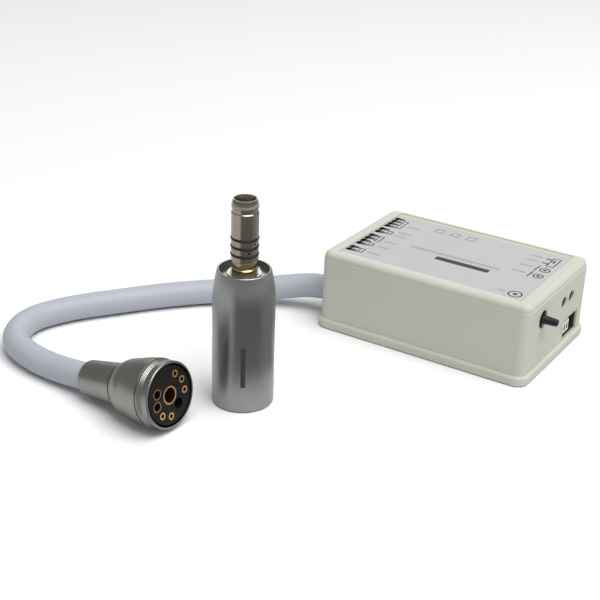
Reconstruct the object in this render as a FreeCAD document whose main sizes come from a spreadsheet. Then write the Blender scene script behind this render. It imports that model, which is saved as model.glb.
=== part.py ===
import FreeCAD, Part
import math
import os
import re

import Sketcher

# Endodontic motor set: a control box, a hose with its motor coupling, and the motor itself.
# Millimetres, +Z up. The origin is the centre of the control box's underside, X runs along
# the box's long side towards the air inlet, and everything stands on the plane Z = 0.

SIZES = {
    # control box
    "case_length": 93.5,
    "case_width": 62.0,
    "case_height": 34.0,
    "case_corner": 4.0,
    "wall": 2.2,
    "base_thickness": 4.0,
    "base_flange": 1.2,
    "base_round": 1.3,
    "plateau": 0.6,
    "lid_thickness": 3.0,
    "lid_inset": 0.35,
    "lid_round": 2.2,
    "lid_lip": 1.4,
    "fit_gap": 0.2,
    "post_radius": 3.0,
    "post_inset": 2.6,
    "screw_radius": 1.45,
    "screw_gap": 0.1,
    "screw_head_radius": 2.8,
    "screw_head": 1.8,
    "screw_length": 14.0,
    "screw_sink": 2.2,
    "peg_length": 5.0,
    # label in the lid
    "label_length": 81.0,
    "label_width": 55.0,
    "label_sheet": 0.3,
    "label_corner": 0.5,
    "label_recess": 0.45,
    # circuit boards
    "board": 1.6,
    "board_half_width": 22.8,
    "driver_level": 5.8,
    "driver_left": 30.0,
    "driver_end_gap": 3.05,
    "control_level": 18.9,
    "control_left_gap": 1.75,
    "control_right_gap": 1.95,
    "spacer_left": 26.0,
    "spacer_right": 27.0,
    "spacer_side": 19.3,
    "spacer_radius": 2.6,
    "board_screw": 1.2,
    "board_screw_head": 2.2,
    "board_screw_length": 6.0,
    # terminals at the left end
    "pole_pitch": 3.4,
    "terminal_gap": 1.2,
    "terminal_depth": 10.0,
    "terminal_height": 8.5,
    "terminal_start": 22.2,
    "slot_gap": 0.25,
    "wire_entry": 2.3,
    "wire_entry_depth": 6.0,
    "clamp_screw": 1.2,
    "clamp_well": 5.0,
    # adjusters, air inlet and switch at the right end
    "trimmer_near": 5.6,
    "trimmer_far": 13.4,
    "trimmer_size": 4.8,
    "trimmer_screw": 1.3,
    "trimmer_hole": 2.6,
    "running_gap": 0.04,
    "inlet_side": -16.3,
    "inlet_lift": 3.5,
    "inlet_hole": 3.8,
    "inlet_root": 1.9,
    "inlet_tip": 1.45,
    "inlet_bore": 0.8,
    "inlet_reach": 6.0,
    "sensor_size": 9.0,
    "sensor_height": 7.0,
    "window_near": 8.2,
    "window_far": 23.0,
    "window_low": 4.6,
    "window_high": 13.6,
    "mark_near": 0.8,
    "mark_far": 6.8,
    "switch_near": 8.6,
    "switch_width": 6.0,
    "switch_height": 4.9,
    "switch_depth": 6.2,
    "switch_pitch": 2.6,
    "slot_width": 1.5,
    "slot_height": 3.2,
    "slot_depth": 1.6,
    "knob_height": 1.4,
    "knob_gap": 0.1,
    # parts on the boards
    "capacitor_radius": 3.9,
    "capacitor_height": 9.4,
    "capacitor_left": 20.0,
    "capacitor_near": 14.0,
    "capacitor_pitch": 9.5,
    "transistor_size": 5.0,
    "transistor_height": 1.2,
    "transistor_edge": 1.5,
    "transistor_pitch_x": 7.0,
    "transistor_pitch_y": 9.0,
    "sink_left": 8.0,
    "sink_near": 17.0,
    "sink_length": 22.0,
    "sink_width": 20.0,
    "sink_base": 1.6,
    "sink_height": 8.2,
    "sink_fin": 1.0,
    "chip_size": 10.0,
    "chip_height": 1.3,
    "chip_left": 2.0,
    "chip_near": 2.0,
    "coil_size": 9.0,
    "coil_height": 5.0,
    "coil_left": 20.0,
    "coil_near": 16.0,
    "header_left": 18.0,
    "header_near": 6.0,
    "header_depth": 5.0,
    "header_width": 12.0,
    # hose and its bushing
    "hose_radius": 5.25,
    "hose_lead": 12.6,
    "hose_entry": 8.0,
    "bushing_side": -17.0,
    "bushing_level": 11.3,
    "bushing_radius": 7.0,
    "bushing_neck": 6.2,
    "bushing_flange": 2.6,
    "bushing_snap": 6.45,
    "bushing_snap_depth": 1.2,
        # coupling at the hose's far end, along its own axis from the hose
    "coupling_x": -84.56,
    "coupling_y": -132.79,
    "coupling_z": 7.32,
    "coupling_tilt": 9.3,
    "coupling_heading": -3.0,
    "sleeve_tail": 6.8,
    "sleeve_neck": 8.0,
    "sleeve_length": 17.0,
    "sleeve_round": 1.1,
    "sleeve_bore": 11.0,
    "spigot_radius": 7.1,
    "spigot_length": 6.0,
    "clip_radius": 8.6,
    "clip_thickness": 0.9,
    "bell_radius": 12.7,
    "bell_start": 17.3,
    "bell_waist": 24.5,
    "bell_waist_radius": 11.0,
    "bell_back_curve": 12.0,
    "bell_side_curve": 60.0,
    "bell_full": 34.0,
    "bell_end": 34.8,
    "bell_wall": 1.0,
    "mouth_radius": 12.45,
    "mouth_wall": 0.75,
    "thread_groove": 0.22,
    "thread_pitch": 0.8,
    "thread_first": 36.0,
    "coupling_length": 40.6,
    "face_recess": 0.35,
    "block_radius": 10.9,
    "contact_circle": 11.3,
    "block_start": 30.5,
    "block_stem": 6.6,
    "air_tube_radius": 3.4,
    "air_tube_bore": 2.85,
    "socket_radius": 1.4,
    "socket_bore": 0.8,
    "socket_stand": 0.12,
    "power_radius": 2.05,
    "power_bore": 1.55,
    "water_port": 2.1,
    # motor, along its own axis from the floor
    "motor_x": -36.7,
    "motor_y": -101.0,
    "motor_radius": 11.6,
    "motor_height": 53.5,
    "motor_edge": 0.5,
    "shoulder_start": 40.0,
    "shoulder_curve": 47.5,
    "rim_radius": 9.95,
    "rim_inner": 9.25,
    "skirt_radius": 11.0,
    "skirt_depth": 6.5,
    "motor_bore": 10.7,
    "neck_level": 41.0,
    "slip": 0.05,
    "rear_block": 4.0,
    "pin_radius": 0.65,
    "power_pin_radius": 1.35,
    "pin_reach": 4.6,
    "hall_level": 11.6,
    "hall_board": 1.2,
    "bearing_radius": 6.4,
    "bearing_height": 3.6,
    "bearing_ring": 1.1,
    "ball_radius": 1.05,
    "shaft_radius": 2.0,
    "rear_bearing_level": 14.2,
    "rear_plate_level": 13.4,
    "front_bearing_level": 37.4,
    "stator_level": 20.0,
    "stator_height": 15.0,
    "stator_wall": 2.3,
    "coil_wall": 2.6,
    "coil_overhang": 1.0,
    "magnet_radius": 5.3,
    "flange_top": 51.3,
    "hub_radius": 5.4,
    "hub_top": 52.4,
    "light_radius": 1.3,
    "light_circle": 7.7,
    "light_stand": 0.25,
    "snap_ring_radius": 6.2,
    "snap_ring": 0.8,
    "snap_ear": 0.95,
    "collar_radius": 4.5,
    "nose_radius": 5.0,
    "nose_foot": 57.4,
    "nose_top": 80.5,
    "nose_spigot": 3.3,
    "nose_bore": 2.6,
    "nose_mouth": 3.5,
    "nose_mouth_level": 78.2,
    "nose_flare": 1.2,
    "nose_lip": 3.95,
    "nose_tip": 4.3,
    "nose_shoulder": 77.5,
    "nose_curve": 7.0,
    "latch_groove_level": 75.5,
    "latch_groove": 0.3,
    "first_ring_level": 59.1,
    "ring_spacing": 3.1,
    "ring_groove": 1.1,
    "ring_depth": 0.75,
    "o_ring": 0.5,
    "nose_port": 0.4,
    "drive_shaft": 1.5,
    "spring_seat": 60.0,
    "spring_seat_radius": 2.2,
    "spring_radius": 2.15,
    "spring_inner": 1.75,
    "dog_radius": 2.3,
    "dog_foot": 66.0,
    "dog_top": 77.6,
    "dog_travel": 1.5,
    "dog_slot": 1.1,
    "dog_slot_depth": 1.8,
    "shaft_top": 72.0,
}

# Poles of each terminal, from the far side of the box to the near one.
TERMINALS = (("motor_terminal", 4), ("light_terminal", 2), ("signal_terminal", 4), ("supply_terminal", 2))

# Contacts on the coupling's face as shares of its radius: sideways (+Y) and up.
SIGNAL_PLACES = ((0.371, 0.599), (0.637, 0.302), (0.7, -0.083), (-0.448, -0.544), (-0.066, -0.702))
POWER_PLACES = ((-0.545, 0.237), (-0.622, -0.158))
WATER_PLACE = (0.353, -0.422)

# The hose's route from inside the box's left end to the coupling, whose axis it then follows.
HOSE_ROUTE = (
    (-44.55, -17.0, 11.3),
    (-56.0, -17.0, 11.3),
    (-69.5, -22.3, 8.4),
    (-83.5, -30.5, 5.7),
    (-97.5, -41.0, 5.25),
    (-110.5, -55.5, 5.25),
    (-121.5, -71.0, 5.25),
    (-132.6, -89.5, 5.25),
    (-138.0, -108.2, 5.25),
    (-131.2, -123.5, 5.25),
    (-115.0, -131.0, 5.25),
)

doc = FreeCAD.newDocument("endodontic_motor")
sheet = doc.addObject("Spreadsheet::Sheet", "sizes")
for row, (alias, number) in enumerate(SIZES.items(), start=1):
    sheet.set(f"A{row}", alias.replace("_", " "))
    sheet.set(f"B{row}", str(number))
    sheet.setAlias(f"B{row}", alias)
doc.recompute()

nodes = []


def value(text):
    """The number that an expression over the sheet's sizes gives now."""
    return float(sheet.evalExpression(text))


def bound(text):
    """The same expression, as an object outside the sheet reads it."""
    return re.sub(r"\b(?!deg\b)([a-z]\w*)\b(?!\()", r"sizes.\1", text)


def node(obj, label):
    """Marks an object as a sub-part under the name its file takes."""
    obj.Label = label
    nodes.append(obj)
    return obj


def place(obj, corner):
    for axis, text in zip("xyz", corner):
        obj.setExpression("Placement.Base." + axis, bound(text))
    return obj


# ---- Part primitives and booleans, sized by the sheet ----


def box(name, corner, size):
    obj = doc.addObject("Part::Box", name)
    for side, text in zip(("Length", "Width", "Height"), size):
        obj.setExpression(side, bound(text))
    return place(obj, corner)


TURNS = {"z": FreeCAD.Rotation(), "x": FreeCAD.Rotation(FreeCAD.Vector(0, 1, 0), 90)}


def rod(name, foot, radius, length, axis="z"):
    obj = doc.addObject("Part::Cylinder", name)
    obj.setExpression("Radius", bound(radius))
    obj.setExpression("Height", bound(length))
    obj.Placement = FreeCAD.Placement(FreeCAD.Vector(), TURNS[axis])
    return place(obj, foot)


def cone(name, foot, low_radius, high_radius, length, axis="z"):
    obj = doc.addObject("Part::Cone", name)
    obj.setExpression("Radius1", bound(low_radius))
    obj.setExpression("Radius2", bound(high_radius))
    obj.setExpression("Height", bound(length))
    obj.Placement = FreeCAD.Placement(FreeCAD.Vector(), TURNS[axis])
    return place(obj, foot)


def ball(name, centre, radius):
    obj = doc.addObject("Part::Sphere", name)
    obj.setExpression("Radius", bound(radius))
    return place(obj, centre)


def fused(name, pieces):
    obj = doc.addObject("Part::MultiFuse", name)
    obj.Shapes = pieces
    return obj


def cut(name, base, tools):
    obj = doc.addObject("Part::Cut", name)
    obj.Base = base
    obj.Tool = tools[0] if len(tools) == 1 else fused(name + "_tools", tools)
    return obj


def group(name, pieces):
    """Separate equal pieces that share one node."""
    obj = doc.addObject("Part::Compound", name)
    obj.Links = pieces
    return obj


def ring(name, foot, outer, inner, length):
    return cut(name, rod(name + "_outside", foot, outer, length), [rod(name + "_inside", foot, inner, length)])


# ---- PartDesign bodies from sketches, sized by the sheet ----


def plane_of(body, role):
    return next(feature for feature in body.Origin.OriginFeatures if feature.Role == role)


def sketch_on(body, name, role="XY_Plane", level="0"):
    sketch = body.newObject("Sketcher::SketchObject", name)
    sketch.AttachmentSupport = [(plane_of(body, role), "")]
    sketch.MapMode = "FlatFace"
    sketch.setExpression("AttachmentOffset.Base.z", bound(level))
    return sketch


def arc_middle(start, end, radius, side):
    """Point halfway along an arc: side 1 bulges to the right of the way from start to end."""
    chord = end - start
    half = chord.Length / 2
    rise = radius - math.sqrt(max(radius * radius - half * half, 0.0))
    right = FreeCAD.Vector(chord.y, -chord.x, 0).normalize()
    return start + chord * 0.5 + right * (rise * side)


def outline(sketch, points):
    """Closed outline. A point is (x, y), or (x, y, radius, side) where an arc leads to it."""
    places = [FreeCAD.Vector(value(point[0]), value(point[1]), 0) for point in points]
    first = sketch.GeometryCount
    shapes = []
    for index, start in enumerate(places):
        following = (index + 1) % len(points)
        end = places[following]
        if len(points[following]) == 4:
            radius_text, side = points[following][2:]
            middle = arc_middle(start, end, value(radius_text), side)
            shapes.append(Part.Arc(start, middle, end))
        else:
            shapes.append(Part.LineSegment(start, end))
    sketch.addGeometry(shapes, False)

    # An arc's own start may be its second end, because sketch arcs always run anticlockwise.
    def ends(index):
        shape = sketch.Geometry[first + index]
        forward = shape.StartPoint.distanceToPoint(places[index]) < 1e-6
        return (1, 2) if forward else (2, 1)

    constraints = []
    bindings = []
    for index, point in enumerate(points):
        start_end, far_end = ends(index)
        following = (index + 1) % len(points)
        next_start = ends(following)[0]
        number = first + index
        bindings.append((len(constraints), point[0]))
        constraints.append(Sketcher.Constraint("DistanceX", number, start_end, places[index].x))
        bindings.append((len(constraints), point[1]))
        constraints.append(Sketcher.Constraint("DistanceY", number, start_end, places[index].y))
        constraints.append(Sketcher.Constraint("Coincident", number, far_end, first + following, next_start))
        if len(points[following]) == 4:
            radius_text = points[following][2]
            bindings.append((len(constraints), radius_text))
            constraints.append(Sketcher.Constraint("Radius", number, value(radius_text)))
    before = sketch.ConstraintCount
    sketch.addConstraint(constraints)
    for offset, text in bindings:
        sketch.setExpression(f"Constraints[{before + offset}]", bound(text))


def rectangle(sketch, low_x, low_y, high_x, high_y):
    outline(sketch, [(low_x, low_y), (high_x, low_y), (high_x, high_y), (low_x, high_y)])


def rounded(sketch, half_x, half_y, corner, middle_y="0"):
    """Rectangle with round corners about the sketch's origin, or about a point above it."""
    right, left = f"({half_x})", f"-({half_x})"
    far, near = f"({middle_y}) + ({half_y})", f"({middle_y}) - ({half_y})"
    outline(
        sketch,
        [
            (f"{left} + {corner}", near),
            (f"{right} - {corner}", near),
            (right, f"{near} + {corner}", corner, 1),
            (right, f"{far} - {corner}"),
            (f"{right} - {corner}", far, corner, 1),
            (f"{left} + {corner}", far),
            (left, f"{far} - {corner}", corner, 1),
            (left, f"{near} + {corner}"),
            (f"{left} + {corner}", near, corner, 1),
        ][1:],
    )


def circles(sketch, centres, radius):
    for x_text, y_text in centres:
        number = sketch.addGeometry(
            Part.Circle(FreeCAD.Vector(value(x_text), value(y_text), 0), FreeCAD.Vector(0, 0, 1), value(radius))
        )
        before = sketch.ConstraintCount
        sketch.addConstraint(
            [
                Sketcher.Constraint("DistanceX", number, 3, value(x_text)),
                Sketcher.Constraint("DistanceY", number, 3, value(y_text)),
                Sketcher.Constraint("Radius", number, value(radius)),
            ]
        )
        for offset, text in enumerate((x_text, y_text, radius)):
            sketch.setExpression(f"Constraints[{before + offset}]", bound(text))


def new_body(label):
    body = doc.addObject("PartDesign::Body", label)
    return node(body, label)


def feature(body, kind, name, sketch, length, against=False):
    """Pad or Pocket of a stated length. A Pad goes up the sketch's normal and a Pocket down it."""
    obj = body.newObject("PartDesign::" + kind, name)
    obj.Profile = sketch
    obj.setExpression("Length", bound(length))
    obj.Reversed = against
    doc.recompute()
    return obj


def pocket(body, name, sketch, length, against=False):
    """Pocket that has to take something away."""
    before = body.Shape.Volume
    obj = feature(body, "Pocket", name, sketch, length, against)
    if body.Shape.Volume > before - 1e-6:
        raise ValueError(f"{name} cuts nothing")
    return obj


def turned(label, profile):
    """Body turned about its own Z axis from an outline of (radius, height) points."""
    body = new_body(label)
    sketch = sketch_on(body, label + "_profile", "XZ_Plane")
    outline(sketch, profile)
    turn = body.newObject("PartDesign::Revolution", label + "_turn")
    turn.Profile = sketch
    turn.ReferenceAxis = (sketch, ["V_Axis"])
    turn.Angle = 360
    doc.recompute()
    return body


def fillet(body, name, radius, wanted):
    """Rounds the edges whose bounding box and length the test accepts."""
    tip = body.Tip
    names = [f"Edge{i}" for i, edge in enumerate(tip.Shape.Edges, start=1) if wanted(edge.BoundBox)]
    obj = body.newObject("PartDesign::Fillet", name)
    obj.Base = (tip, names)
    obj.setExpression("Radius", bound(radius))
    doc.recompute()
    return obj


def rim_edges(level, half_x):
    """Test for the edges of a plate's outside at one height."""

    def wanted(bounds):
        flat = abs(bounds.ZMin - level) < 1e-3 and abs(bounds.ZMax - level) < 1e-3
        reach = max(abs(bounds.XMin), abs(bounds.XMax))
        side = bounds.XLength > half_x or bounds.YLength > half_x * 0.5
        return flat and (reach > half_x - 1e-3 or side)

    return wanted


# ---- control box: frame, base and lid ----

HALF_X = "case_length / 2"
HALF_Y = "case_width / 2"
INNER_X = "(case_length / 2 - wall)"
INNER_Y = "(case_width / 2 - wall)"
INNER_CORNER = "(case_corner - wall)"
FRAME_TOP = "(case_height - lid_thickness)"
POST_X = "(case_length / 2 - wall - post_inset)"
POST_Y = "(case_width / 2 - wall - post_inset)"
POSTS = [(f"{sx}{POST_X}", f"{sy}{POST_Y}") for sx in ("", "-") for sy in ("", "-")]
BOARD_TOP = "(control_level + board)"
DRIVER_TOP = "(driver_level + board)"
SWITCH_MIDDLE = "(driver_level + board + switch_height / 2)"
TRIMMER_AXIS = "(control_level + board + trimmer_size / 2)"
INLET_AXIS = "(control_level + board + inlet_lift)"


def terminal_spans():
    """Each terminal's name, poles and the side coordinates of its far and near ends."""
    spans = []
    far = "terminal_start"
    for name, poles in TERMINALS:
        near = f"{far} - {poles} * pole_pitch"
        spans.append((name, poles, far, near))
        far = f"{near} - terminal_gap"
    return spans


def make_base():
    body = new_body("base_plate")
    plate = sketch_on(body, "base_outline")
    rounded(plate, f"{HALF_X} + base_flange", f"{HALF_Y} + base_flange", "(case_corner + base_flange)")
    feature(body, "Pad", "base_pad", plate, "base_thickness")
    half_x = value(f"{HALF_X} + base_flange")
    fillet(body, "base_top_round", "base_round", rim_edges(value("base_thickness"), half_x))
    fillet(body, "base_bottom_round", "base_round / 2", rim_edges(0.0, half_x))
    plateau = sketch_on(body, "plateau_outline", level="base_thickness")
    rounded(plateau, f"{INNER_X} - fit_gap", f"{INNER_Y} - fit_gap", INNER_CORNER)
    feature(body, "Pad", "plateau_pad", plateau, "plateau")
    feet = sketch_on(body, "board_feet_outline", level="base_thickness + plateau")
    circles(feet, spacer_places(), "spacer_radius")
    feature(body, "Pad", "board_feet", feet, "driver_level - base_thickness - plateau")
    holes = sketch_on(body, "screw_holes_outline", level="base_thickness + plateau")
    circles(holes, POSTS, "screw_radius + screw_gap")
    pocket(body, "screw_holes", holes, "base_thickness + plateau")
    sinks = sketch_on(body, "screw_sinks_outline")
    circles(sinks, POSTS, "screw_head_radius + fit_gap")
    pocket(body, "screw_sinks", sinks, "screw_sink", against=True)


def spacer_places():
    return [(x, y) for x in ("spacer_right", "-spacer_left") for y in ("spacer_side", "-spacer_side")]


def make_frame():
    body = new_body("case_frame")
    outside = sketch_on(body, "frame_outline", level="base_thickness")
    rounded(outside, HALF_X, HALF_Y, "case_corner")
    feature(body, "Pad", "frame_pad", outside, f"{FRAME_TOP} - base_thickness")
    inside = sketch_on(body, "frame_inside", level=FRAME_TOP)
    rounded(inside, INNER_X, INNER_Y, INNER_CORNER)
    pocket(body, "frame_hollow", inside, f"{FRAME_TOP} - base_thickness")
    posts = sketch_on(body, "posts_outline", level="base_thickness + plateau")
    circles(posts, POSTS, "post_radius")
    post_top = f"{FRAME_TOP} - lid_lip - fit_gap"
    feature(body, "Pad", "posts", posts, f"{post_top} - base_thickness - plateau")
    webs = sketch_on(body, "webs_outline", level="base_thickness + plateau")
    for sx, sy in ((1, 1), (1, -1), (-1, 1), (-1, -1)):
        low_x, high_x = sorted((f"{sx} * {POST_X}", f"{sx} * ({INNER_X} + wall / 2)"), key=value)
        low_y, high_y = sorted(
            (f"{sy} * {POST_Y} - post_radius / 2", f"{sy} * {POST_Y} + post_radius / 2"), key=value
        )
        rectangle(webs, low_x, low_y, high_x, high_y)
    feature(body, "Pad", "post_webs", webs, f"{post_top} - base_thickness - plateau")
    bores = sketch_on(body, "post_bores_outline", level=post_top)
    circles(bores, POSTS, "screw_radius + screw_gap")
    pocket(body, "post_bores", bores, f"{post_top} - base_thickness")
    openings = sketch_on(body, "right_openings", "YZ_Plane", f"{HALF_X} + wall")
    circles(openings, [("inlet_side", INLET_AXIS)], "inlet_hole")
    circles(openings, [("trimmer_near", TRIMMER_AXIS), ("trimmer_far", TRIMMER_AXIS)], "trimmer_hole")
    rectangle(openings, "window_near", "window_low", "window_far", "window_high")
    pocket(body, "right_end_openings", openings, "2.5 * wall")
    mark = sketch_on(body, "mark_outline", "YZ_Plane", HALF_X)
    rectangle(mark, "mark_near", f"{DRIVER_TOP} + fit_gap", "mark_far", "window_high")
    pocket(body, "mark_recess", mark, "fit_gap")
    slots = sketch_on(body, "left_openings", "YZ_Plane", f"-({INNER_X} - wall / 2)")
    for _, _, far, near in terminal_spans():
        rectangle(
            slots,
            f"{near} - slot_gap",
            f"{BOARD_TOP} - slot_gap",
            f"{far} + slot_gap",
            f"{BOARD_TOP} + terminal_height + slot_gap",
        )
    circles(slots, [("bushing_side", "bushing_level")], "bushing_neck + screw_gap")
    pocket(body, "left_end_openings", slots, "2.5 * wall")


def make_lid():
    body = new_body("top_lid")
    plate = sketch_on(body, "lid_outline", level=FRAME_TOP)
    rounded(plate, f"{HALF_X} - lid_inset", f"{HALF_Y} - lid_inset", "(case_corner - lid_inset)")
    feature(body, "Pad", "lid_pad", plate, "lid_thickness")
    half_x = value(f"{HALF_X} - lid_inset")
    fillet(body, "lid_top_round", "lid_round", rim_edges(value("case_height"), half_x))
    lip = sketch_on(body, "lid_lip_outline", level=FRAME_TOP)
    rounded(lip, f"{INNER_X} - fit_gap", f"{INNER_Y} - fit_gap", INNER_CORNER)
    rounded(
        lip,
        f"{INNER_X} - fit_gap - lid_lip",
        f"{INNER_Y} - fit_gap - lid_lip",
        f"({INNER_CORNER} / 2)",
    )
    feature(body, "Pad", "lid_lip_pad", lip, "lid_lip", against=True)
    pads = sketch_on(body, "lid_pads_outline", level=FRAME_TOP)
    circles(pads, POSTS, "post_inset - fit_gap")
    feature(body, "Pad", "lid_pads", pads, "lid_lip", against=True)
    pegs = sketch_on(body, "lid_pegs_outline", level=f"{FRAME_TOP} - lid_lip")
    circles(pegs, POSTS, "screw_radius")
    feature(body, "Pad", "lid_pegs", pegs, "peg_length", against=True)
    recess = sketch_on(body, "label_recess_outline", level="case_height")
    rounded(recess, "label_length / 2 + fit_gap", "label_width / 2 + fit_gap", "(label_corner + fit_gap)")
    pocket(body, "label_recess", recess, "label_recess")


def make_label():
    body = new_body("label_panel")
    sheet_outline = sketch_on(body, "label_outline", level="case_height - label_recess")
    rounded(sheet_outline, "label_length / 2", "label_width / 2", "label_corner")
    feature(body, "Pad", "label_pad", sheet_outline, "label_sheet")


def make_case_screws():
    screws = []
    seat = "(screw_sink - screw_head)"
    for index, (x, y) in enumerate(POSTS):
        name = f"case_screw_{index}"
        head = rod(name + "_head", (x, y, seat), "screw_head_radius", "screw_head")
        shank = rod(name + "_shank", (x, y, seat), "screw_radius", "screw_head + screw_length")
        slots = [
            box(
                name + "_slot",
                (f"{x} - screw_head_radius / 5", f"{y} - screw_head_radius * 2 / 3", seat),
                ("screw_head_radius * 2 / 5", "screw_head_radius * 4 / 3", "screw_head / 2"),
            ),
            box(
                name + "_cross",
                (f"{x} - screw_head_radius * 2 / 3", f"{y} - screw_head_radius / 5", seat),
                ("screw_head_radius * 4 / 3", "screw_head_radius * 2 / 5", "screw_head / 2"),
            ),
        ]
        screws.append(cut(name, fused(name + "_blank", [head, shank]), slots))
    node(group("case_screws_group", screws), "case_screws")


# ---- control box: boards and what stands on them ----


def drilled_board(label, left, right, level):
    half = "board_half_width"
    blank = box(label + "_blank", (f"-{left}", f"-{half}", level), (f"{left} + {right}", f"2 * {half}", "board"))
    holes = [
        rod(f"{label}_hole_{index}", (x, y, level), "board_screw + screw_gap", "board")
        for index, (x, y) in enumerate(spacer_places())
    ]
    node(cut(label + "_cut", blank, holes), label)


def make_spacers():
    spacers = []
    screws = []
    for index, (x, y) in enumerate(spacer_places()):
        post = doc.addObject("Part::Prism", f"spacer_{index}_post")
        post.Polygon = 6
        post.setExpression("Circumradius", bound("spacer_radius"))
        post.setExpression("Height", bound(f"control_level - {DRIVER_TOP}"))
        place(post, (x, y, DRIVER_TOP))
        bore = rod(
            f"spacer_{index}_bore", (x, y, DRIVER_TOP), "board_screw + screw_gap", f"control_level - {DRIVER_TOP}"
        )
        spacers.append(cut(f"spacer_{index}", post, [bore]))
        head = rod(f"board_screw_{index}_head", (x, y, BOARD_TOP), "board_screw_head", "board")
        shank = rod(f"board_screw_{index}_shank", (x, y, f"{BOARD_TOP} - board_screw_length"), "board_screw", "board_screw_length")
        slot = box(
            f"board_screw_{index}_slot",
            (f"{x} - board_screw_head", f"{y} - board_screw / 4", f"{BOARD_TOP} + board / 2"),
            ("2 * board_screw_head", "board_screw / 2", "board"),
        )
        screws.append(cut(f"board_screw_{index}", fused(f"board_screw_{index}_blank", [head, shank]), [slot]))
    node(group("spacer_group", spacers), "board_spacers")
    node(group("board_screw_group", screws), "board_screws")


def make_terminals():
    screws = []
    front = f"-({HALF_X} - wall / 4)"
    for name, poles, far, near in terminal_spans():
        block = box(
            name + "_block",
            (front, near, BOARD_TOP),
            ("terminal_depth", f"{poles} * pole_pitch", "terminal_height"),
        )
        tools = []
        for pole in range(poles):
            middle = f"({near} + {pole} * pole_pitch + pole_pitch / 2)"
            tools.append(
                box(
                    f"{name}_entry_{pole}",
                    (front, f"{middle} - wire_entry / 2", f"{BOARD_TOP} + wire_entry / 2"),
                    ("wire_entry_depth", "wire_entry", "wire_entry"),
                )
            )
            centre = f"({front} + terminal_depth / 2)"
            well_foot = f"{BOARD_TOP} + terminal_height - clamp_well"
            tools.append(
                rod(f"{name}_well_{pole}", (centre, middle, well_foot), "clamp_screw + screw_gap", "clamp_well")
            )
            screw = rod(f"{name}_screw_{pole}", (centre, middle, well_foot), "clamp_screw", "clamp_well / 2")
            slot = box(
                f"{name}_screw_slot_{pole}",
                (f"{centre} - clamp_screw", f"{middle} - clamp_screw / 6", f"{well_foot} + clamp_well / 4"),
                ("2 * clamp_screw", "clamp_screw / 3", "clamp_well / 2"),
            )
            screws.append(cut(f"{name}_clamp_{pole}", screw, [slot]))
        node(cut(name + "_cut", block, tools), name)
    node(group("clamp_screw_group", screws), "terminal_screws")


def make_trimmers():
    """Two adjusters whose slotted screws look out through the right end."""
    bodies = []
    left = f"({INNER_X} - trimmer_size - fit_gap)"
    for label, side in (("speed_trimmer_screw", "trimmer_near"), ("light_trimmer_screw", "trimmer_far")):
        case = box(
            label + "_case",
            (left, f"{side} - trimmer_size / 2", BOARD_TOP),
            ("trimmer_size", "trimmer_size", "trimmer_size"),
        )
        foot = f"({left} + trimmer_size / 2)"
        bore = rod(
            label + "_bore", (foot, side, TRIMMER_AXIS), "trimmer_screw + running_gap", "trimmer_size", "x"
        )
        bodies.append(cut(label + "_body", case, [bore]))
        length = f"({INNER_X} + fit_gap - {foot})"
        screw = rod(
            label + "_rod", (f"{foot} + fit_gap", side, TRIMMER_AXIS), "trimmer_screw", length, "x"
        )
        slot = box(
            label + "_slot",
            (
                f"{foot} + {length} - trimmer_screw / 3",
                f"{side} - trimmer_screw / 5",
                f"{TRIMMER_AXIS} - trimmer_screw",
            ),
            ("trimmer_screw", "trimmer_screw * 2 / 5", "2 * trimmer_screw"),
        )
        node(cut(label + "_cut", screw, [slot]), label)
    node(group("trimmer_body_group", bodies), "trimmer_bodies")


def make_inlet():
    """Pressure sensor with its tapered air inlet, which stands out of the right end."""
    right = f"({INNER_X} - trimmer_size / 2)"
    body_box = box(
        "sensor_block",
        (f"{right} - sensor_size", "inlet_side - sensor_size / 2", BOARD_TOP),
        ("sensor_size", "sensor_size", "sensor_height"),
    )
    node(body_box, "pressure_sensor")
    reach = f"({HALF_X} + inlet_reach - {right})"
    axis = ("inlet_side", INLET_AXIS)
    taper = cone("inlet_taper", (right, *axis), "inlet_root * 1.15", "inlet_tip", reach, "x")
    collar = rod("inlet_collar", (right, *axis), "inlet_hole - 3 * fit_gap", "wall", "x")
    bore = rod("inlet_bore_rod", (right, *axis), "inlet_bore", reach, "x")
    node(cut("air_inlet_cut", fused("inlet_blank", [taper, collar]), [bore]), "air_inlet_barb")


def make_switch():
    """Two-way slide switch on the lower board, its face level with the right end."""
    face = f"({HALF_X} - fit_gap)"
    block = box(
        "switch_block",
        (f"{face} - switch_depth", "switch_near", DRIVER_TOP),
        ("switch_depth", "switch_width", "switch_height"),
    )
    slots = []
    for label, side in (("mode_slider", -1), ("feedback_slider", 1)):
        middle = f"(switch_near + switch_width / 2 + {side} * switch_pitch / 2)"
        low = f"({SWITCH_MIDDLE} - slot_height / 2)"
        slots.append(
            box(
                label + "_slot",
                (f"{face} - slot_depth", f"{middle} - slot_width / 2", low),
                ("slot_depth", "slot_width", "slot_height"),
            )
        )
        knob = box(
            label + "_knob",
            (f"{face} - slot_depth + knob_gap", f"{middle} - slot_width / 2 + knob_gap", f"{low} + knob_gap"),
            ("slot_depth - knob_gap", "slot_width - 2 * knob_gap", "knob_height"),
        )
        node(knob, label)
    node(cut("switch_cut", block, slots), "switch_body")


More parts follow.
